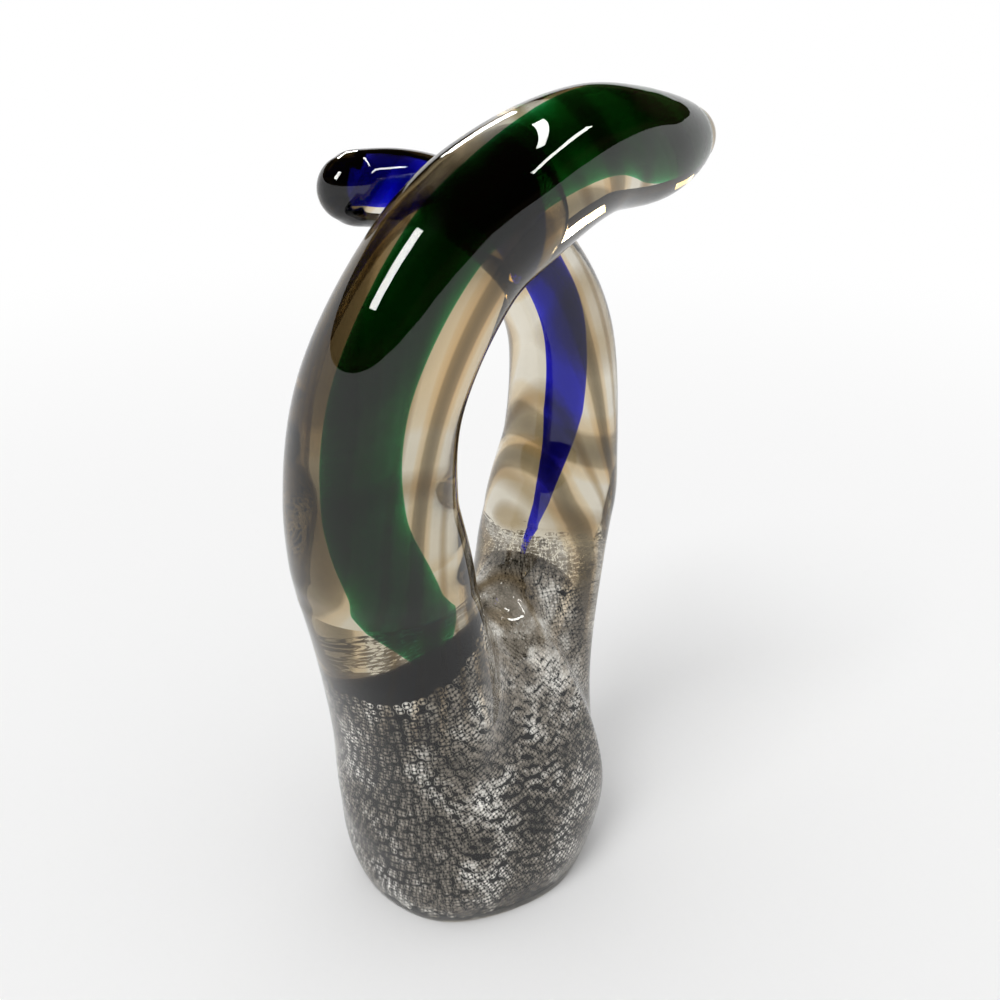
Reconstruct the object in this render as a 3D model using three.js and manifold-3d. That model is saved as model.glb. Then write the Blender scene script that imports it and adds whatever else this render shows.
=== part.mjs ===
// Knotted loop sculpture of solid hot-worked glass. Millimetres, +Z up, origin at the centre of
// the ground foot. X runs along the loop from the front arm to the rear arm, Y through its eye.
// A thick base is split at the top into two arms that swing past each other and cross. Each arm
// is a clear casing over a coloured cane, and the base is a clear casing over a gather that a
// spiked mould has covered with pits, which trap the bubbles.
import * as THREE from 'three';
import { LoftGeometry } from 'three/addons/geometries/LoftGeometry.js';
import { mergeVertices } from 'three/addons/utils/BufferGeometryUtils.js';
import Module from 'manifold-3d';

const wasm = await Module();
wasm.setup();

// The eye between the arms: its lower end is a half ellipse that hangs from the root level,
// where the arms leave the base
const eyeCentre = 6.5;
const rootLevel = 140;
const eyeHalfWidth = 17;
const saddleDepth = 26;

// Clearance between the fused pieces, and across the eye where the arms pass each other
const seam = 0.4;
const crossingGap = 1.5;

// The round roots of the arms, on both sides of the eye
const frontRootDiameter = 61;
const rearRootDiameter = 51;

// The base skin between the roots: its outline seen through the eye, down the side, past the foot
// plane where it is ground away, and up again, with its width through the eye there
const baseStations = [
  { x: -61, z: 102, width: 70 },
  { x: -53.5, z: 64, width: 78 },
  { x: -50.5, z: 28, width: 83 },
  { x: -42, z: -5, width: 92 },
  { x: 2, z: -30, width: 110 },
  { x: 44, z: -7, width: 98 },
  { x: 50.5, z: 27, width: 73 },
  { x: 52.5, z: 62, width: 64 },
  { x: 61, z: 104, width: 57 },
];
// How far the groove under the saddle draws the skin in, and how square the foot end is
const grooveShare = 0.38;
const footFullness = 2.15;

// The arms, from just above the root to the tip: distance out from the middle of the eye, rise
// above the root level, share of the sideways swing at the crossing, and diameter
const frontStations = [
  { out: -56.5, rise: 36, swing: 0.2, diameter: 55.8 },
  { out: -54.2, rise: 73, swing: 0.44, diameter: 51.3 },
  { out: -31, rise: 111.4, swing: 0.8, diameter: 47.3 },
  { out: -9.9, rise: 125, swing: 1, diameter: 46.5, crossing: true },
  { out: 27.5, rise: 135.6, swing: 1.12, diameter: 42.3 },
  { out: 63.3, rise: 134.3, swing: 1.2, diameter: 38.2 },
  { out: 97.5, rise: 136, swing: 1.27, diameter: 33.5 },
];
const rearStations = [
  { out: 51.6, rise: 26, swing: 0.12, diameter: 44.5 },
  { out: 53.5, rise: 65, swing: 0.3, diameter: 39.8 },
  { out: 42.8, rise: 88.6, swing: 0.47, diameter: 36.6 },
  { out: 26.5, rise: 106.3, swing: 0.71, diameter: 33 },
  { out: -4, rise: 121.4, swing: 0.98, diameter: 27 },
  { out: -18, rise: 125.6, swing: 1.09, diameter: 25.3, crossing: true },
  { out: -45.8, rise: 128.9, swing: 1.3, diameter: 22.5 },
];
const frontTipLength = 46;
const rearTipLength = 13;
const frontSwingShare = 0.55;

// The canes: how far off the arm's axis they lie, on its outer side, the clear glass over their
// upper ends, how far down into the base they reach, and the length of their lower points
const greenCane = { diameter: 17, offset: 3, tipCover: 9, dip: 48, pointLength: 14 };
const blueCane = { diameter: 10, offset: 1.5, tipCover: 5, dip: 40, pointLength: 62 };
const capLength = 6;

// The gather in the base: clear glass over it, distances down the outline to its two ends and
// over their domes, and the pits that the mould's spikes leave
const coverWall = 6;
const frontGatherStart = 38;
const rearGatherStart = 19;
const domeLength = 18;
const pitDepth = 1.8;
const pitDepthShare = 0.3;
const domeTipShare = 0.15;
const pitRings = 30;
const pitsPerRing = 30;

// Fineness of the faceted skins
const skinColumns = 28;
const skinRings = 24;
const armRings = 20;
const tipRings = 6;
const caneColumns = 12;
const caneRings = 24;
const dipRings = 6;
const smallestRadius = 0.4;
const mergeTolerance = 0.0001;

const yAxis = new THREE.Vector3(0, 1, 0);
const zAxis = new THREE.Vector3(0, 0, 1);
const rootMiddle = new THREE.Vector3(eyeCentre, 0, rootLevel);

// Evenly spaced values from one end to the other, both included
function steps(from, to, count) {
  return Array.from({ length: count + 1 }, (_, i) => from + ((to - from) * i) / count);
}

// A smooth curve through points, with the distance along it of each one
function smoothCurve(points) {
  const curve = new THREE.CatmullRomCurve3(points, false, 'centripetal');
  const perSpan = 40;
  const lengths = curve.getLengths(perSpan * (points.length - 1));
  const length = lengths[lengths.length - 1];
  const share = (far) => THREE.MathUtils.clamp(far / length, 0, 1);
  return {
    length,
    keys: points.map((_, i) => lengths[i * perSpan]),
    pointAt: (far) => curve.getPointAt(share(far)),
    directionAt: (far) => curve.getTangentAt(share(far)),
  };
}

// A smooth function that passes through the given values at the given keys, level at both ends
function smoothThrough(keys, values) {
  const last = keys.length - 1;
  const slope = (i) => {
    if (i === 0 || i === last) return 0;
    return (values[i + 1] - values[i - 1]) / (keys[i + 1] - keys[i - 1]);
  };
  return (at) => {
    let i = 0;
    while (i < last - 1 && at > keys[i + 1]) i += 1;
    const span = keys[i + 1] - keys[i];
    const t = THREE.MathUtils.clamp((at - keys[i]) / span, 0, 1);
    const ease = t * t * (3 - 2 * t);
    const bend = t * (1 - t) * (slope(i) * (1 - t) - slope(i + 1) * t);
    return values[i] * (1 - ease) + values[i + 1] * ease + span * bend;
  };
}

const outlineStations = [
  { x: eyeCentre - eyeHalfWidth - frontRootDiameter, z: rootLevel, width: frontRootDiameter },
  ...baseStations,
  { x: eyeCentre + eyeHalfWidth + rearRootDiameter, z: rootLevel, width: rearRootDiameter },
];
const baseOutline = smoothCurve(outlineStations.map(({ x, z }) => new THREE.Vector3(x, 0, z)));
const baseWidth = smoothThrough(baseOutline.keys, outlineStations.map(({ width }) => width));

// A cross-section of the body is a frame: its centre, the directions away from the eye and
// through it, its half sizes, how far the eye side narrows, and the power of its outline
function baseFrame(far) {
  const edge = baseOutline.pointAt(far);
  const outward = edge.clone().sub(rootMiddle);
  const reach = outward.length();
  outward.normalize();
  const [level, down] = [outward.x, -outward.z];
  const inner = 1 / Math.hypot(level / eyeHalfWidth, down / saddleDepth);
  return {
    centre: rootMiddle.clone().addScaledVector(outward, (reach + inner) / 2),
    outward,
    across: yAxis,
    halfDepth: (reach - inner) / 2,
    halfWidth: baseWidth(far) / 2,
    groove: grooveShare * down ** 2,
    power: THREE.MathUtils.lerp(2, footFullness, down ** 2),
  };
}

// An arm follows a smooth curve from its root on the base to its tip
function makeArm(stations, rootFar, swingAtCrossing, tipLength) {
  const root = baseFrame(rootFar);
  const axis = smoothCurve([root.centre, ...stations.map(({ out, rise, swing }) => (
    new THREE.Vector3(eyeCentre + out, swing * swingAtCrossing, rootLevel + rise)
  ))]);
  const diameters = [2 * root.halfWidth, ...stations.map(({ diameter }) => diameter)];
  const diameterAt = smoothThrough(axis.keys, diameters);
  const side = rootFar > 0 ? 1 : -1;
  return { axis, length: axis.length, tipLength, diameterAt, rootFar, side };
}

const crossingDiameter = (stations) => stations.find((station) => station.crossing).diameter;
const swingApart = crossingGap
  + (crossingDiameter(frontStations) + crossingDiameter(rearStations)) / 2;
const front = makeArm(frontStations, 0, -swingApart * frontSwingShare, frontTipLength);
const rearSwing = swingApart * (1 - frontSwingShare);
const rear = makeArm(rearStations, baseOutline.length, rearSwing, rearTipLength);

// The round cross-section of an arm at a distance from its root. The lowest ones turn level to
// meet the base, and the last ones round off the tip.
function armFrame(arm, distance) {
  const upright = 1 - THREE.MathUtils.smoothstep(distance, 0, arm.diameterAt(0) / 2);
  const travel = arm.axis.directionAt(distance).lerp(zAxis, upright).normalize();
  const across = yAxis.clone().addScaledVector(travel, -yAxis.dot(travel)).normalize();
  const outward = across.clone().cross(travel).multiplyScalar(arm.side);
  const intoTip = Math.max(1 - (arm.length - distance) / arm.tipLength, 0);
  const radius = (arm.diameterAt(distance) / 2) * Math.sqrt(Math.max(1 - intoTip ** 2, 0));
  return { centre: arm.axis.pointAt(distance), outward, across, halfDepth: radius,
    halfWidth: radius, groove: 0, power: 2 };
}

// The outline of a cross-section, drawn in by a wall
function outline(frame, columns, wall = 0, scale = 1) {
  const halfDepth = Math.max(frame.halfDepth - wall, smallestRadius) * scale;
  const halfWidth = Math.max(frame.halfWidth - wall, smallestRadius) * scale;
  return steps(0, 2 * Math.PI, columns).slice(0, columns).map((turn) => {
    const [c, s] = [Math.cos(turn), Math.sin(turn)];
    const along = Math.sign(c) * Math.abs(c) ** (2 / frame.power);
    const aside = Math.sign(s) * Math.abs(s) ** (2 / frame.power);
    const narrowing = 1 - (frame.groove * (1 - c)) / 2;
    return frame.centre.clone().addScaledVector(frame.outward, halfDepth * along)
      .addScaledVector(frame.across, halfWidth * aside * narrowing);
  });
}

function toSolid(geometry) {
  const bare = new THREE.BufferGeometry();
  bare.setAttribute('position', geometry.attributes.position);
  bare.setIndex(geometry.index);
  const merged = mergeVertices(bare, mergeTolerance);
  return new wasm.Manifold(new wasm.Mesh({
    numProp: 3,
    vertProperties: new Float32Array(merged.attributes.position.array),
    triVerts: new Uint32Array(merged.index.array),
  }));
}

function loft(outlines) {
  return toSolid(new LoftGeometry(outlines, { capStart: true, capEnd: true }));
}

// Everything under the foot plane, ground away
const grindSize = 400;
const groundAway = toSolid(
  new THREE.BoxGeometry(grindSize, grindSize, grindSize).translate(0, 0, -grindSize / 2),
);

// An arm's clear skin starts a seam above its root and closes over the tip
function armSkin(arm) {
  const shaft = steps(0, arm.length - arm.tipLength, armRings);
  const tip = steps(0, Math.PI / 2, tipRings).slice(1)
    .map((turn) => arm.length - arm.tipLength * (1 - Math.sin(turn)));
  const outlines = [...shaft, ...tip].map((far) => outline(armFrame(arm, far), skinColumns));
  for (const point of outlines[0]) point.addScaledVector(zAxis, seam);
  return loft(arm.side < 0 ? outlines.reverse() : outlines);
}

const baseSkin = loft(
  steps(0, baseOutline.length, skinRings).map((far) => outline(baseFrame(far), skinColumns)),
);

// The gather's outlines, from one domed end round under the saddle to the other
function gatherOutlines(wall) {
  const beyond = coverWall - wall;
  const start = frontGatherStart - beyond;
  const end = baseOutline.length - rearGatherStart + beyond;
  return steps(start, end, pitRings).map((far) => {
    const intoDome = Math.max(1 - Math.min(far - start, end - far) / domeLength, 0);
    const dome = Math.sqrt(Math.max(1 - intoDome ** 2, 0));
    return outline(baseFrame(far), pitsPerRing, wall, Math.max(dome, domeTipShare));
  });
}

// A loft whose every face is a four-sided pit, as the spikes of an optic mould leave it. A pit
// is shallower where the faces crowd together.
function pittedLoft(outlines) {
  const [rows, columns] = [outlines.length, outlines[0].length];
  const points = outlines.flat();
  const faces = [];
  const addFan = (rim, sink) => {
    const middle = new THREE.Vector3();
    for (const corner of rim) middle.addScaledVector(points[corner], 1 / rim.length);
    points.push(middle.add(sink));
    rim.forEach((corner, i) => faces.push(corner, rim[(i + 1) % rim.length], points.length - 1));
  };
  for (let row = 0; row < rows - 1; row += 1) {
    for (let column = 0; column < columns; column += 1) {
      const next = (column + 1) % columns;
      const rim = [row * columns + column, row * columns + next,
        (row + 1) * columns + next, (row + 1) * columns + column];
      const [a, b, c, d] = rim.map((corner) => points[corner]);
      const normal = c.clone().sub(a).cross(d.clone().sub(b));
      const faceSize = Math.sqrt(normal.length() / 2);
      const depth = Math.min(pitDepth, pitDepthShare * faceSize);
      addFan(rim, normal.normalize().multiplyScalar(-depth));
    }
  }
  const noSink = new THREE.Vector3();
  const firstRing = [...outlines[0].keys()];
  addFan(firstRing.map((i) => columns - 1 - i), noSink);
  addFan(firstRing.map((i) => (rows - 1) * columns + i), noSink);
  const geometry = new THREE.BufferGeometry().setFromPoints(points);
  geometry.setIndex(faces);
  return toSolid(geometry);
}

// A cane follows its arm's axis down from the tip and on into the base. It grows by the clearance
// all round and at both ends where it is the tool that cuts its own bore.
function cane({ diameter, offset, tipCover, dip, pointLength }, arm, clearance = 0) {
  const inArm = steps(arm.length - tipCover, 0, caneRings).map((far) => armFrame(arm, far));
  const inBase = steps(0, dip, dipRings).slice(1)
    .map((far) => baseFrame(arm.rootFar - arm.side * far));
  const frames = [...inArm, ...inBase];
  const centres = frames
    .map(({ centre, outward }) => centre.clone().addScaledVector(outward, offset));
  const path = new THREE.CatmullRomCurve3(centres);
  const total = path.getLength();
  const shape = (far) => {
    const cap = THREE.MathUtils.clamp(far / capLength, 0, 1);
    const point = THREE.MathUtils.clamp((total - far) / pointLength, 0, 1);
    return (diameter / 2) * Math.sqrt(1 - (1 - cap) ** 2) * point;
  };
  let far = 0;
  const outlines = frames.map((frame, i) => {
    if (i > 0) far += centres[i].distanceTo(centres[i - 1]);
    const radius = Math.max(shape(far), smallestRadius) + clearance;
    return outline({ ...frame, centre: centres[i], halfDepth: radius, halfWidth: radius,
      groove: 0, power: 2 }, caneColumns);
  });
  for (const point of outlines[0]) point.addScaledVector(path.getTangent(0), -clearance);
  for (const point of outlines.at(-1)) point.addScaledVector(path.getTangent(1), clearance);
  return loft(arm.side < 0 ? outlines : outlines.reverse());
}

const group = new THREE.Group();

function addPiece(name, solid, look) {
  const { numProp, vertProperties, triVerts } = solid.getMesh();
  const geometry = new THREE.BufferGeometry();
  geometry.setAttribute('position', new THREE.BufferAttribute(vertProperties, numProp));
  geometry.setIndex(new THREE.BufferAttribute(triVerts, 1));
  geometry.computeVertexNormals();
  const mesh = new THREE.Mesh(geometry, new THREE.MeshStandardMaterial(look));
  mesh.name = name;
  group.add(mesh);
}

const clearGlass = { color: 0xdfe6e2, roughness: 0.04, metalness: 0 };
const bubbledGlass = { color: 0xb9bab4, roughness: 0.15, metalness: 0 };
const greenGlass = { color: 0x04341a, roughness: 0.05, metalness: 0 };
const blueGlass = { color: 0x0a0a78, roughness: 0.05, metalness: 0 };

const greenBore = cane(greenCane, front, seam);
const blueBore = cane(blueCane, rear, seam);

addPiece('base_casing', baseSkin.subtract(groundAway)
  .subtract(loft(gatherOutlines(coverWall - seam)))
  .subtract(greenBore).subtract(blueBore), clearGlass);
addPiece('bubble_gather', pittedLoft(gatherOutlines(coverWall))
  .subtract(groundAway).subtract(greenBore).subtract(blueBore), bubbledGlass);
addPiece('front_arm', armSkin(front).subtract(greenBore), clearGlass);
addPiece('rear_arm', armSkin(rear).subtract(blueBore), clearGlass);
addPiece('green_cane', cane(greenCane, front), greenGlass);
addPiece('blue_cane', cane(blueCane, rear), blueGlass);

export default group;
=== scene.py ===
import math
import random

import bmesh
import bpy
import numpy as np
from mathutils import Matrix, Vector


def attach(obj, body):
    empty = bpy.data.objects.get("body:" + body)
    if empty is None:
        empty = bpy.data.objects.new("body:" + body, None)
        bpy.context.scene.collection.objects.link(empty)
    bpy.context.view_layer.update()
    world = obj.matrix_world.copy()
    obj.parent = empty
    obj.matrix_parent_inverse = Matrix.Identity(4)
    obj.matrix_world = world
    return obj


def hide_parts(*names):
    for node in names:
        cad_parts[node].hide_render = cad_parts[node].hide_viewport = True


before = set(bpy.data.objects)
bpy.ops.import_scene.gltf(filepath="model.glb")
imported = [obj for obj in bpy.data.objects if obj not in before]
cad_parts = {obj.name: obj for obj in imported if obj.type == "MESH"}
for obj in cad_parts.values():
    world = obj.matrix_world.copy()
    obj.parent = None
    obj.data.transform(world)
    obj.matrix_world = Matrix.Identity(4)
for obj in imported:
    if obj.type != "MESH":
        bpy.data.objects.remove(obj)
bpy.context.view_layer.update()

# Clear skin: the crystal that the sculpture is made of. It is gathered over the bubbles and the
# coloured canes, split at the top into two arms, bent while hot and sheared off at the tips.
# The skin is one mesh, because the fused casings have no seam. Its sizes are in millimetres.
MILLIMETRE = 0.001
EYE = Vector((6.5, 0, 140))
EYE_HALF_WIDTH = 17
SADDLE_DEPTH = 26
GROOVE = 0.38
FOOT_FULLNESS = 2.15
BASE = [
    (-71.5, 140, 61), (-61, 102, 70), (-53.5, 64, 78), (-50.5, 28, 83), (-42, -5, 92),
    (2, -30, 110), (44, -7, 98), (50.5, 27, 73), (52.5, 62, 64), (61, 104, 57), (74.5, 140, 51),
]
FRONT = [
    (-56.5, 36, 0.2, 55.8), (-54.2, 73, 0.44, 51.3), (-31, 111.4, 0.8, 47.3),
    (-9.9, 125, 1, 46.5), (27.5, 135.6, 1.12, 42.3), (63.3, 134.3, 1.2, 38.2),
    (97.5, 136, 1.27, 33.5),
]
REAR = [
    (51.6, 26, 0.12, 44.5), (53.5, 65, 0.3, 39.8), (42.8, 88.6, 0.47, 36.6),
    (26.5, 106.3, 0.71, 33), (-4, 121.4, 0.98, 27), (-18, 125.6, 1.09, 25.3),
    (-45.8, 128.9, 1.3, 22.5),
]
SWING = 1.5 + (46.5 + 25.3) / 2
FRONT_SWING = -0.55 * SWING
REAR_SWING = 0.45 * SWING
FRONT_TIP = 46
REAR_TIP = 13
FRONT_NIP = (13, 0.6)
REAR_NIP = (7, 0.3)
NIP_WIDTH = 1.8
FOOT_EDGE = 1.2
SKIN_COLUMNS = 96
LOOP_HALF_WIDTH = 62
LOOP_HALF_HEIGHT = 122
ACROSS = Vector((0, 1, 0))
UP = Vector((0, 0, 1))


class Bend:
    """A smooth curve through points, read by the distance along it."""

    def __init__(self, points):
        points = [Vector(p) for p in points]
        points = [2 * points[0] - points[1], *points, 2 * points[-1] - points[-2]]
        dense = []
        self.keys = [0.0]
        for a, b, c, d in zip(points, points[1:], points[2:], points[3:]):
            before, here, after = ((q - p).length ** 0.5 for p, q in ((a, b), (b, c), (c, d)))
            leave = ((b - a) / before - (c - a) / (before + here) + (c - b) / here) * here
            reach = ((c - b) / here - (d - b) / (here + after) + (d - c) / after) * here
            for t in np.linspace(0, 1, 60, endpoint=False):
                dense.append(b + leave * t + (3 * (c - b) - 2 * leave - reach) * t**2
                             + (2 * (b - c) + leave + reach) * t**3)
            self.keys.append(len(dense))
        dense.append(points[-2])
        self.points = np.array([tuple(p) for p in dense])
        steps = np.linalg.norm(np.diff(self.points, axis=0), axis=1)
        self.far = np.concatenate(([0], np.cumsum(steps)))
        self.keys = [self.far[int(k)] for k in self.keys]
        self.length = self.far[-1]

    def at(self, far):
        return Vector([np.interp(far, self.far, self.points[:, k]) for k in range(3)])

    def direction(self, far):
        return (self.at(far + 1.5) - self.at(far - 1.5)).normalized()


def ease(t):
    t = min(max(t, 0), 1)
    return t * t * (3 - 2 * t)


def through(keys, values):
    """A smooth function with the given values at the given keys, level at both ends."""
    slopes = [0.0] + [
        (values[i + 1] - values[i - 1]) / (keys[i + 1] - keys[i - 1])
        for i in range(1, len(keys) - 1)
    ] + [0.0]

    def value(at):
        i = int(np.clip(np.searchsorted(keys, at) - 1, 0, len(keys) - 2))
        span = keys[i + 1] - keys[i]
        t = min(max((at - keys[i]) / span, 0), 1)
        rise = values[i] + (values[i + 1] - values[i]) * ease(t)
        return rise + span * t * (1 - t) * (slopes[i] * (1 - t) - slopes[i + 1] * t)

    return value


outline = Bend([(x, 0, z) for x, z, _ in BASE])
base_width = through(outline.keys, [width for *_, width in BASE])


def base_slice(far):
    """Where the base is cut by a plane through the eye: centre, outward, across, half sizes."""
    outward = outline.at(far) - EYE
    reach = outward.length
    outward.normalize()
    level, down = outward.x, -outward.z
    inner = 1 / math.hypot(level / EYE_HALF_WIDTH, down / SADDLE_DEPTH)
    power = 2 + (FOOT_FULLNESS - 2) * down**2
    return (EYE + outward * (reach + inner) / 2, outward, ACROSS, (reach - inner) / 2,
            base_width(far) / 2, GROOVE * down**2, power)


class Arm:
    """An arm's smooth axis from its root to its tip, and its round slices."""

    def __init__(self, stations, root, swing, tip, side, nip):
        self.root, self.tip, self.side, self.nip = root, tip, side, nip
        centre, _, _, half, *_ = base_slice(root)
        self.axis = Bend([centre] + [
            EYE + Vector((out, share * swing, rise)) for out, rise, share, _ in stations
        ])
        self.length = self.axis.length
        sizes = [2 * half] + [size for *_, size in stations]
        self.diameter = through(self.axis.keys, sizes)

    def slice(self, far):
        upright = 1 - ease(far / (self.diameter(0) / 2))
        travel = self.axis.direction(far).lerp(UP, upright).normalized()
        across = (ACROSS - travel * ACROSS.dot(travel)).normalized()
        outward = across.cross(travel) * self.side
        into_tip = max(1 - (self.length - far) / self.tip, 0)
        radius = self.diameter(far) / 2 * math.sqrt(max(1 - into_tip**2, 0))
        nip, depth = self.nip
        radius -= depth * math.exp(-(((self.length - far - nip) / NIP_WIDTH) ** 2))
        radius = max(radius, 0)
        return (self.axis.at(far), outward, across, radius, radius, 0, 2)


front = Arm(FRONT, 0, FRONT_SWING, FRONT_TIP, -1, FRONT_NIP)
rear = Arm(REAR, outline.length, REAR_SWING, REAR_TIP, 1, REAR_NIP)


def on_slice(section, turn, wall=0.0):
    """The point of a slice's outline at a turn from the outward side, drawn in by a wall."""
    centre, outward, across, depth, width, groove, power = section
    c, s = math.cos(turn), math.sin(turn)
    along = math.copysign(abs(c) ** (2 / power), c)
    aside = math.copysign(abs(s) ** (2 / power), s)
    narrowing = 1 - groove * (1 - c) / 2
    return (centre + outward * (max(depth - wall, 0.05) * along)
            + across * (max(width - wall, 0.05) * aside * narrowing))


def skin_over(sections, columns, wall=0.0):
    """A closed mesh bridged over rings that lie on the slices."""
    bm = bmesh.new()
    rings = []
    for section in sections:
        ring = bmesh.ops.create_circle(bm, segments=columns, radius=1)["verts"]
        for vert in ring:
            turn = math.atan2(vert.co.y, vert.co.x)
            vert.co = on_slice(section, turn, wall)
        rings.append({edge for vert in ring for edge in vert.link_edges})
    for one, other in zip(rings, rings[1:]):
        bmesh.ops.bridge_loops(bm, edges=list(one | other))
    for end in (rings[0], rings[-1]):
        bmesh.ops.contextual_create(bm, geom=list(end))
    bmesh.ops.recalc_face_normals(bm, faces=bm.faces)
    return bm


def into_scene(bm, name, material):
    """The finished mesh in metres, shaded smooth, riding with the sculpture."""
    bmesh.ops.scale(bm, vec=(MILLIMETRE,) * 3, verts=bm.verts)
    mesh = bpy.data.meshes.new(name)
    bm.to_mesh(mesh)
    bm.free()
    mesh.shade_smooth()
    mesh.materials.append(material)
    piece = bpy.data.objects.new(name, mesh)
    bpy.context.scene.collection.objects.link(piece)
    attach(piece, "root")
    return piece


class Value:
    """A shader socket that can be added and multiplied."""

    def __init__(self, finish, socket):
        self.finish, self.socket = finish, socket

    def math(self, operation, first, second):
        return self.finish.node("ShaderNodeMath", {"operation": operation}, {0: first, 1: second})

    def __add__(self, other):
        return self.math("ADD", self, other)

    def __sub__(self, other):
        return self.math("SUBTRACT", self, other)

    def __rsub__(self, other):
        return self.math("SUBTRACT", other, self)

    def __mul__(self, other):
        return self.math("MULTIPLY", self, other)

    __radd__, __rmul__ = __add__, __mul__


class Finish:
    """A material or a world, made node by node."""

    def __init__(self, owner):
        owner.use_nodes = True
        self.owner, self.tree = owner, owner.node_tree
        self.tree.nodes.clear()

    def node(self, kind, settings=None, sockets=None, output=0):
        made = self.tree.nodes.new(kind)
        for name, value in (settings or {}).items():
            if name == "stops":
                ramp = made.color_ramp
                for stop, colour in value[2:]:
                    ramp.elements.new(stop)
                for element, (stop, colour) in zip(ramp.elements, sorted(value)):
                    element.position = stop
                    element.color = (*colour, 1)
            else:
                setattr(made, name, value)
        for name, value in (sockets or {}).items():
            if isinstance(value, Value):
                self.tree.links.new(value.socket, made.inputs[name])
            else:
                made.inputs[name].default_value = value
        if isinstance(output, tuple):
            return [Value(self, made.outputs[name]) for name in output]
        return Value(self, made.outputs[output]) if made.outputs else None


def painted_refraction_streaks(finish, place, colour, stops):
    """Painted refraction: tan, dark brown and white bands in the base colour that follow the loop
    in the arms, standing in for the room seen through the glass, and leave the base plain.
    """
    from_eye = finish.node("ShaderNodeVectorMath", {"operation": "SUBTRACT"}, {
        0: place, 1: tuple(EYE * MILLIMETRE)})
    out, aside, rise = finish.node("ShaderNodeSeparateXYZ", {}, {0: from_eye}, ("X", "Y", "Z"))
    wide = out * (1 / (LOOP_HALF_WIDTH * MILLIMETRE))
    high = rise * (1 / (LOOP_HALF_HEIGHT * MILLIMETRE))
    reach = finish.node("ShaderNodeMath", {"operation": "SQRT"}, {0: wide * wide + high * high})
    turn = finish.node("ShaderNodeMath", {"operation": "ARCTAN2"}, {0: rise, 1: out})
    flow = finish.node("ShaderNodeCombineXYZ", {}, {
        0: reach * 1.4, 1: aside * 14.0, 2: turn * 0.6})
    wander = finish.node("ShaderNodeTexNoise", {}, {
        "Vector": flow, "Scale": 1.0, "Detail": 1.0, "Roughness": 0.4}, "Fac")
    band = finish.node("ShaderNodeMath", {"operation": "SINE"}, {
        0: reach * 15.0 + aside * 70.0 + wander * 9.0})
    painted_refraction = finish.node("ShaderNodeValToRGB", {"stops": stops}, {"Fac": band * 0.5 + 0.5}, "Color")
    in_arms = finish.node("ShaderNodeMapRange", {"interpolation_type": "SMOOTHSTEP"}, {
        "Value": rise, "From Min": -0.07, "From Max": -0.02})
    return finish.node("ShaderNodeMix", {"data_type": "RGBA"}, {
        "Factor": in_arms, 6: (*colour, 1), 7: painted_refraction}, 2)


def glass(name, colour, ior, absorbed, density, painted_refraction_stops=None):
    """Hot-worked glass: smooth, with the faint ripples and the fine haze that handling leaves."""
    finish = Finish(bpy.data.materials.new(name))
    place = finish.node("ShaderNodeTexCoord", output="Object")
    ripple = finish.node("ShaderNodeTexNoise", {}, {
        "Vector": place, "Scale": 38.0, "Detail": 2.0, "Roughness": 0.4}, "Fac")
    haze = finish.node("ShaderNodeTexNoise", {}, {
        "Vector": place, "Scale": 120.0, "Detail": 4.0, "Roughness": 0.6}, "Fac")
    bump = finish.node("ShaderNodeBump", {}, {
        "Strength": 0.12, "Distance": 0.0012, "Height": ripple}, "Normal")
    # With streak stops the base colour carries painted refraction bands. Without them it is the
    # glass's plain tint.
    tint_and_painted_refraction = painted_refraction_streaks(finish, place, colour, painted_refraction_stops) if painted_refraction_stops else (*colour, 1)
    shader = finish.node("ShaderNodeBsdfPrincipled", {}, {
        "Base Color": tint_and_painted_refraction, "Roughness": haze * 0.02, "IOR": ior,
        "Transmission Weight": 1.0, "Normal": bump})
    smoke = finish.node("ShaderNodeVolumeAbsorption", {}, {
        "Color": (*absorbed, 1), "Density": density})
    finish.node("ShaderNodeOutputMaterial", {}, {"Surface": shader, "Volume": smoke})
    return finish.owner


# The crystal's stops are painted refraction: dark brown, tan and white bands that stand in for the
# room seen through the arms.
crystal = glass("crystal", (1, 1, 1), 1.5, (0.487, 0.393, 0.157), 17.0, [
    (0.0, (0.09, 0.065, 0.03)), (0.12, (0.2, 0.14, 0.065)), (0.2, (0.75, 0.54, 0.3)),
    (0.4, (0.9, 0.76, 0.55)), (0.5, (1.0, 0.99, 0.96)), (0.9, (1.0, 1.0, 0.98)),
    (1.0, (0.4, 0.3, 0.17)),
])


def tip_steps(length, tip, count):
    """Distances down an arm that crowd together towards its tip."""
    rounded = [length - tip * (1 - math.cos(t)) for t in np.linspace(0, math.pi / 2, 30)]
    return rounded + list(np.linspace(length - tip, 0, count)[1:])


sections = [front.slice(far) for far in tip_steps(front.length, FRONT_TIP, 130)]
sections += [base_slice(far) for far in np.linspace(0, outline.length, 170)[1:]]
sections += [rear.slice(far) for far in reversed(tip_steps(rear.length, REAR_TIP, 130)[:-1])]
skin = skin_over(sections, SKIN_COLUMNS)
bmesh.ops.bisect_plane(skin, geom=[*skin.verts, *skin.edges, *skin.faces],
                       plane_co=(0, 0, 0), plane_no=(0, 0, 1), clear_inner=True)
rim = [edge for edge in skin.edges if edge.is_boundary]
bmesh.ops.contextual_create(skin, geom=rim)
bmesh.ops.bevel(skin, geom=rim, offset=FOOT_EDGE, offset_type="OFFSET", affect="EDGES", segments=3,
                profile=0.5, material=-1, clamp_overlap=True)
bmesh.ops.recalc_face_normals(skin, faces=skin.faces)
clear_skin = into_scene(skin, "clear_skin", crystal)
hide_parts("base_casing", "front_arm", "rear_arm")

# Green and blue canes: rods of coloured glass that were laid up inside the arms. They run along
# the outer side of each axis, round off just short of the tip and end in a point in the base.
EMERALD = glass("emerald", (0.2, 0.72, 0.45), 1.0, (0.02, 0.6, 0.3), 430.0)
COBALT = glass("cobalt", (0.12, 0.12, 0.95), 1.0, (0.03, 0.03, 0.85), 420.0)
CANE_CAP = 6
LEAN_START = 60


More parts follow.
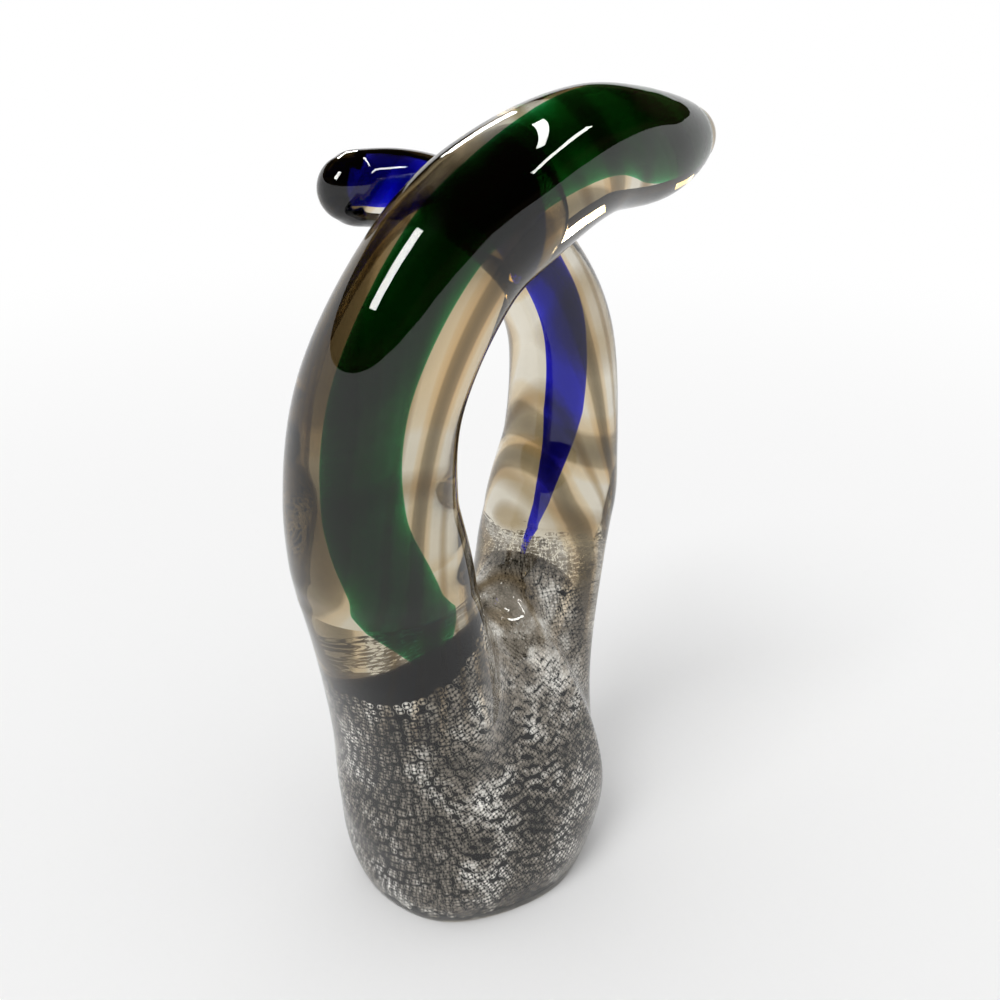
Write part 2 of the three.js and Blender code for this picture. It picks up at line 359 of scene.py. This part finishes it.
def cane(arm, name, material, diameter, offset, cover, dip, point, lean):
    """A round cane along an arm's axis, from under the tip down into the base."""
    down = [*np.linspace(-arm.length + cover, 0, 150), *np.linspace(0, dip, 40)[1:]]
    places = [arm.slice(-far) if far <= 0 else base_slice(arm.root - arm.side * far)
              for far in down]
    centres = [
        centre + outward * (offset - lean * ease((far + LEAN_START) / (LEAN_START + dip)))
        for (centre, outward, *_), far in zip(places, down)
    ]
    run = np.concatenate(([0], np.cumsum([(b - a).length for a, b in zip(centres, centres[1:])])))
    sections = []
    for place, centre, far in zip(places, centres, run):
        cap = min(far / CANE_CAP, 1)
        taper = min((run[-1] - far) / point, 1)
        radius = max(diameter / 2 * math.sqrt(1 - (1 - cap) ** 2) * taper, 0.05)
        sections.append((centre, place[1], place[2], radius, radius, 0, 2))
    return into_scene(skin_over(sections, 40), name, material)


green = cane(front, "emerald_cane", EMERALD, diameter=17, offset=3, cover=9, dip=80, point=34,
             lean=12)
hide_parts("green_cane")
blue = cane(rear, "cobalt_cane", COBALT, diameter=10, offset=1.5, cover=5, dip=52, point=66,
            lean=9)
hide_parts("blue_cane")

# Bubbles: air that was trapped in the pits of the spiked mould when the base was covered with
# its last gather. They lie in rows in a thin layer under the clear casing, round the whole base.
GATHER_START = 38
GATHER_END = outline.length - 19
DOME = 18
LAYER = 6.8
SPACING = 3.7
RADII = [0.95, 1.1, 1.25, 1.35, 1.45, 1.5]
LARGE_RADIUS = 1.9
LARGE_SHARE = 0.01
ABOVE_FOOT = 1.5
PER_MESH = 2400
random.seed(11)
# The air paints light on the bubbles. An emitted ring at the rim, picked by the facing, is a
# painted reflection in place of the total reflection at a bubble's edge. An emitted spot where the
# normal meets one fixed direction is a painted highlight. Between them the bubble is clear.
air = Finish(bpy.data.materials.new("air"))
clear = air.node("ShaderNodeBsdfTransparent", {}, {"Color": (1, 1, 1, 1)})
edge = air.node("ShaderNodeLayerWeight", {}, {"Blend": 0.5}, "Facing")
# These two ranges bound the painted reflection ring at the rim.
rim = air.node("ShaderNodeMapRange", {"interpolation_type": "SMOOTHSTEP"}, {
    "Value": edge, "From Min": 0.42, "From Max": 0.6})
painted_rim_end = air.node("ShaderNodeMapRange", {"interpolation_type": "SMOOTHSTEP"}, {
    "Value": edge, "From Min": 0.72, "From Max": 0.95})
facing = air.node("ShaderNodeNewGeometry", output="Normal")
above = air.node("ShaderNodeVectorMath", {"operation": "DOT_PRODUCT"}, {
    0: facing, 1: (-0.55, -0.35, 0.76)}, "Value")
# Painted highlight: a bright spot where the normal faces up and to one side.
painted_glint = air.node("ShaderNodeMapRange", {"interpolation_type": "SMOOTHSTEP"}, {
    "Value": above, "From Min": 0.86, "From Max": 0.98})
spot = air.node("ShaderNodeTexCoord", output="Object")
painted_reflection_noise = air.node("ShaderNodeTexNoise", {}, {
    "Vector": spot, "Scale": 60.0, "Detail": 3.0, "Roughness": 0.6}, "Fac")
# Colour of the painted reflection, varied by noise.
painted_reflection_tone = air.node("ShaderNodeValToRGB", {"stops": [
    (0.3, (0.07, 0.062, 0.05)), (0.5, (0.25, 0.225, 0.19)), (0.7, (0.85, 0.84, 0.8)),
]}, {"Fac": painted_reflection_noise}, "Color")
painted_bubble_reflection = air.node("ShaderNodeEmission", {}, {"Color": painted_reflection_tone, "Strength": 1.0})
painted_shine = air.node("ShaderNodeMath", {"operation": "MAXIMUM", "use_clamp": True}, {
    0: rim * (1 - painted_rim_end) * 0.7, 1: painted_glint})
air.node("ShaderNodeOutputMaterial", {}, {"Surface": air.node(
    "ShaderNodeMixShader", {}, {0: painted_shine, 1: clear, 2: painted_bubble_reflection})})
air.owner.cycles.emission_sampling = "NONE"
spots = []
far = GATHER_START
while far < GATHER_END:
    section = base_slice(far)
    into_dome = max(1 - min(far - GATHER_START, GATHER_END - far) / DOME, 0)
    dome = math.sqrt(max(1 - into_dome**2, 0))
    around = 2 * math.pi * math.hypot(section[3], section[4]) / math.sqrt(2)
    count = int(around / SPACING)
    shift = random.random()
    for i in range(count):
        turn = 2 * math.pi * (i + shift + random.uniform(-0.25, 0.25)) / count
        point = on_slice(section, turn, LAYER + random.uniform(-0.3, 0.9))
        point += Vector([random.uniform(-0.4, 0.4) for _ in range(3)])
        size = random.choice(RADII)
        if random.random() < LARGE_SHARE:
            size = LARGE_RADIUS
        if random.random() > dome * 1.6 or point.z < size + ABOVE_FOOT:
            continue
        spots.append((point, size))
    far += SPACING * random.uniform(0.85, 1.0)

round_bubble = bmesh.new()
bmesh.ops.create_uvsphere(round_bubble, u_segments=8, v_segments=6, radius=1)
one_bubble = bpy.data.meshes.new("one_bubble")
round_bubble.to_mesh(one_bubble)
round_bubble.free()


def bubbles(spots, name):
    """A few thousand round bubbles in one mesh."""
    bm = bmesh.new()
    for point, size in spots:
        bubble = one_bubble.copy()
        bubble.transform(Matrix.Translation(point) @ Matrix.Scale(size, 4))
        bm.from_mesh(bubble)
        bpy.data.meshes.remove(bubble)
    return into_scene(bm, name, air.owner)


for first in range(0, len(spots), PER_MESH):
    piece = bubbles(spots[first:first + PER_MESH], f"bubbles_{first // PER_MESH + 1}")
    if first == 0:
        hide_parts("bubble_gather")

# Core: painted shade, a near-black absorbing volume inside the bubbles that darkens the base
# behind them. It looks nearly black at this thickness and is fused to what lies round it.
CORE_START = GATHER_START + 22
CORE_END = GATHER_END - 14
CORE_DOME = 30
CORE_WALL = 9.5
CORE_FOOT = 1
# Painted shade: the core's dense, dark absorption.
painted_shade_glass = glass("painted_shade_core", (1, 1, 1), 1.0, (0.1, 0.04, 0.0), 300.0)
core_sections = []
for far in np.linspace(CORE_START, CORE_END, 120):
    centre, outward, across, depth, width, groove, power = base_slice(far)
    into_dome = max(1 - min(far - CORE_START, CORE_END - far) / CORE_DOME, 0)
    dome = math.sqrt(max(1 - into_dome**2, 0.01))
    core_sections.append((centre, outward, across, max(depth - CORE_WALL, 1) * dome,
                          max(width - CORE_WALL, 1) * dome, groove, power))
core_mesh = skin_over(core_sections, 48)
bmesh.ops.bisect_plane(core_mesh, geom=[*core_mesh.verts, *core_mesh.edges, *core_mesh.faces],
                       plane_co=(0, 0, CORE_FOOT), plane_no=(0, 0, 1), clear_inner=True)
bmesh.ops.contextual_create(core_mesh, geom=[e for e in core_mesh.edges if e.is_boundary])
bmesh.ops.recalc_face_normals(core_mesh, faces=core_mesh.faces)
core = into_scene(core_mesh, "painted_shade_gather_core", painted_shade_glass)

# Studio: a pale floor and backdrop in one, which the glass shows too, the camera of the
# photograph, one soft sun, and overhead a dark ceiling with four windows for the highlights.
FLOOR_HALF = 30
CEILING_RADIUS = 4
CEILING_START = 1.4
WINDOW_STRENGTH = 20.0


def seen_directly(finish):
    """1 for rays from the camera and rays that glass and metal send on, 0 for the others."""
    ray = finish.node("ShaderNodeLightPath", {}, {}, (
        "Is Camera Ray", "Is Glossy Ray", "Is Transmission Ray"))
    return finish.node("ShaderNodeMath", {"operation": "ADD", "use_clamp": True}, {
        0: ray[0] + ray[1], 1: ray[2]})


floor_mesh = bmesh.new()
bmesh.ops.create_grid(floor_mesh, x_segments=1, y_segments=1, size=FLOOR_HALF)
floor_data = bpy.data.meshes.new("floor")
floor_mesh.to_mesh(floor_data)
floor_mesh.free()
paper = Finish(bpy.data.materials.new("paper"))
here = paper.node("ShaderNodeTexCoord", output="Object")
away = paper.node("ShaderNodeVectorMath", {"operation": "LENGTH"}, {0: here}, "Value")
beyond = paper.node("ShaderNodeMapRange", {"interpolation_type": "SMOOTHSTEP"}, {
    "Value": away, "From Min": 0.35, "From Max": 1.1})
shown = seen_directly(paper)
matt = paper.node("ShaderNodeBsdfPrincipled", {}, {
    "Base Color": (0.9, 0.9, 0.9, 1), "Roughness": 0.9, "Specular IOR Level": 0.0})
white = paper.node("ShaderNodeEmission", {}, {"Color": (1, 1, 1, 1), "Strength": 1.0})
mixed = paper.node("ShaderNodeMixShader", {}, {0: beyond * shown, 1: matt, 2: white})
paper.node("ShaderNodeOutputMaterial", {}, {"Surface": mixed})
floor_data.materials.append(paper.owner)
floor = bpy.data.objects.new("floor", floor_data)
bpy.context.scene.collection.objects.link(floor)

camera_data = bpy.data.cameras.new("camera")
camera_data.lens = 41.4
camera_data.clip_end = 200
camera = bpy.data.objects.new("camera", camera_data)
camera.location = (-0.278, -0.249, 0.331)
camera.rotation_euler = (math.radians(65), 0, math.radians(-50))
bpy.context.scene.collection.objects.link(camera)
bpy.context.scene.camera = camera

world = Finish(bpy.data.worlds.new("studio"))
bpy.context.scene.world = world.owner
direct = seen_directly(world)
lamp = world.node("ShaderNodeBackground", {}, {"Color": (1, 1, 1, 1), "Strength": 0.75})
backdrop = world.node("ShaderNodeBackground", {}, {"Color": (1, 1, 1, 1), "Strength": 1.0})
world.node("ShaderNodeOutputWorld", {}, {"Surface": world.node(
    "ShaderNodeMixShader", {}, {0: direct, 1: lamp, 2: backdrop})})

sun_data = bpy.data.lights.new("sun", "SUN")
sun_data.energy = 1.1
sun_data.angle = math.radians(25)
sun = bpy.data.objects.new("sun", sun_data)
sun.rotation_euler = Vector((0.9, 0.1, -1.3)).to_track_quat("-Z", "Y").to_euler()
bpy.context.scene.collection.objects.link(sun)


def card(name, mesh, material):
    """Something round the studio that only shines in the glass."""
    data = bpy.data.meshes.new(name)
    mesh.to_mesh(data)
    mesh.free()
    data.materials.append(material)
    made = bpy.data.objects.new(name, data)
    bpy.context.scene.collection.objects.link(made)
    made.visible_camera = made.visible_diffuse = made.visible_shadow = False
    return made


walls = Finish(bpy.data.materials.new("walls"))
spot = walls.node("ShaderNodeTexCoord", output="Object")
wander = walls.node("ShaderNodeTexNoise", {}, {
    "Vector": spot, "Scale": 0.6, "Detail": 2.0, "Roughness": 0.5}, "Color")
drift = walls.node("ShaderNodeVectorMath", {"operation": "MULTIPLY_ADD"}, {
    0: wander, 1: (1.6,) * 3, 2: (-0.8,) * 3})
wandering = walls.node("ShaderNodeVectorMath", {"operation": "ADD"}, {0: spot, 1: drift})
height = walls.node("ShaderNodeSeparateXYZ", {}, {0: wandering}, "Z")
paint = walls.node("ShaderNodeValToRGB", {"stops": [
    (0.0, (0.34, 0.33, 0.27)), (0.11, (0.30, 0.30, 0.25)), (0.14, (0.11, 0.12, 0.10)),
    (0.25, (0.12, 0.11, 0.09)), (0.30, (0.02, 0.016, 0.009)), (0.45, (0.05, 0.036, 0.02)),
    (0.55, (0.01, 0.008, 0.004)), (1.0, (0.02, 0.014, 0.008)),
]}, {"Fac": height * (1 / CEILING_RADIUS)}, "Color")
walls.node("ShaderNodeOutputMaterial", {}, {"Surface": walls.node(
    "ShaderNodeEmission", {}, {"Color": paint, "Strength": 1.0})})
walls.owner.cycles.emission_sampling = "NONE"
wall = bmesh.new()
bmesh.ops.create_uvsphere(wall, u_segments=48, v_segments=24, radius=CEILING_RADIUS)
bmesh.ops.bisect_plane(wall, geom=[*wall.verts, *wall.edges, *wall.faces],
                       plane_co=(0, 0, CEILING_START), plane_no=(0, 0, 1), clear_inner=True)
card("ceiling", wall, walls.owner)

bright = Finish(bpy.data.materials.new("window_light"))
bright.node("ShaderNodeOutputMaterial", {}, {"Surface": bright.node(
    "ShaderNodeEmission", {}, {"Color": (1, 1, 0.97, 1), "Strength": WINDOW_STRENGTH})})
bright.owner.cycles.emission_sampling = "NONE"


def window(name, place, width, height):
    """A bright window at a place, facing the sculpture."""
    place = Vector(place)
    pane = bmesh.new()
    bmesh.ops.create_grid(pane, x_segments=1, y_segments=1, size=0.5)
    bmesh.ops.scale(pane, vec=(width, height, 1), verts=pane.verts)
    turn = (Vector((0, 0, 0.2)) - place).to_track_quat("Z", "Y").to_matrix()
    bmesh.ops.rotate(pane, matrix=turn, verts=pane.verts)
    bmesh.ops.translate(pane, vec=place, verts=pane.verts)
    card(name, pane, bright.owner)


window("window_left", (-1.2, 0.3, 1.5), 0.35, 0.7)
window("window_top", (0.9, -0.2, 2.2), 1.2, 0.14)
window("window_high", (1.0, -1.2, 1.9), 1.1, 0.12)
window("window_back", (1.0, 1.4, 1.2), 0.5, 0.3)

bpy.context.scene.view_settings.view_transform = "Standard"
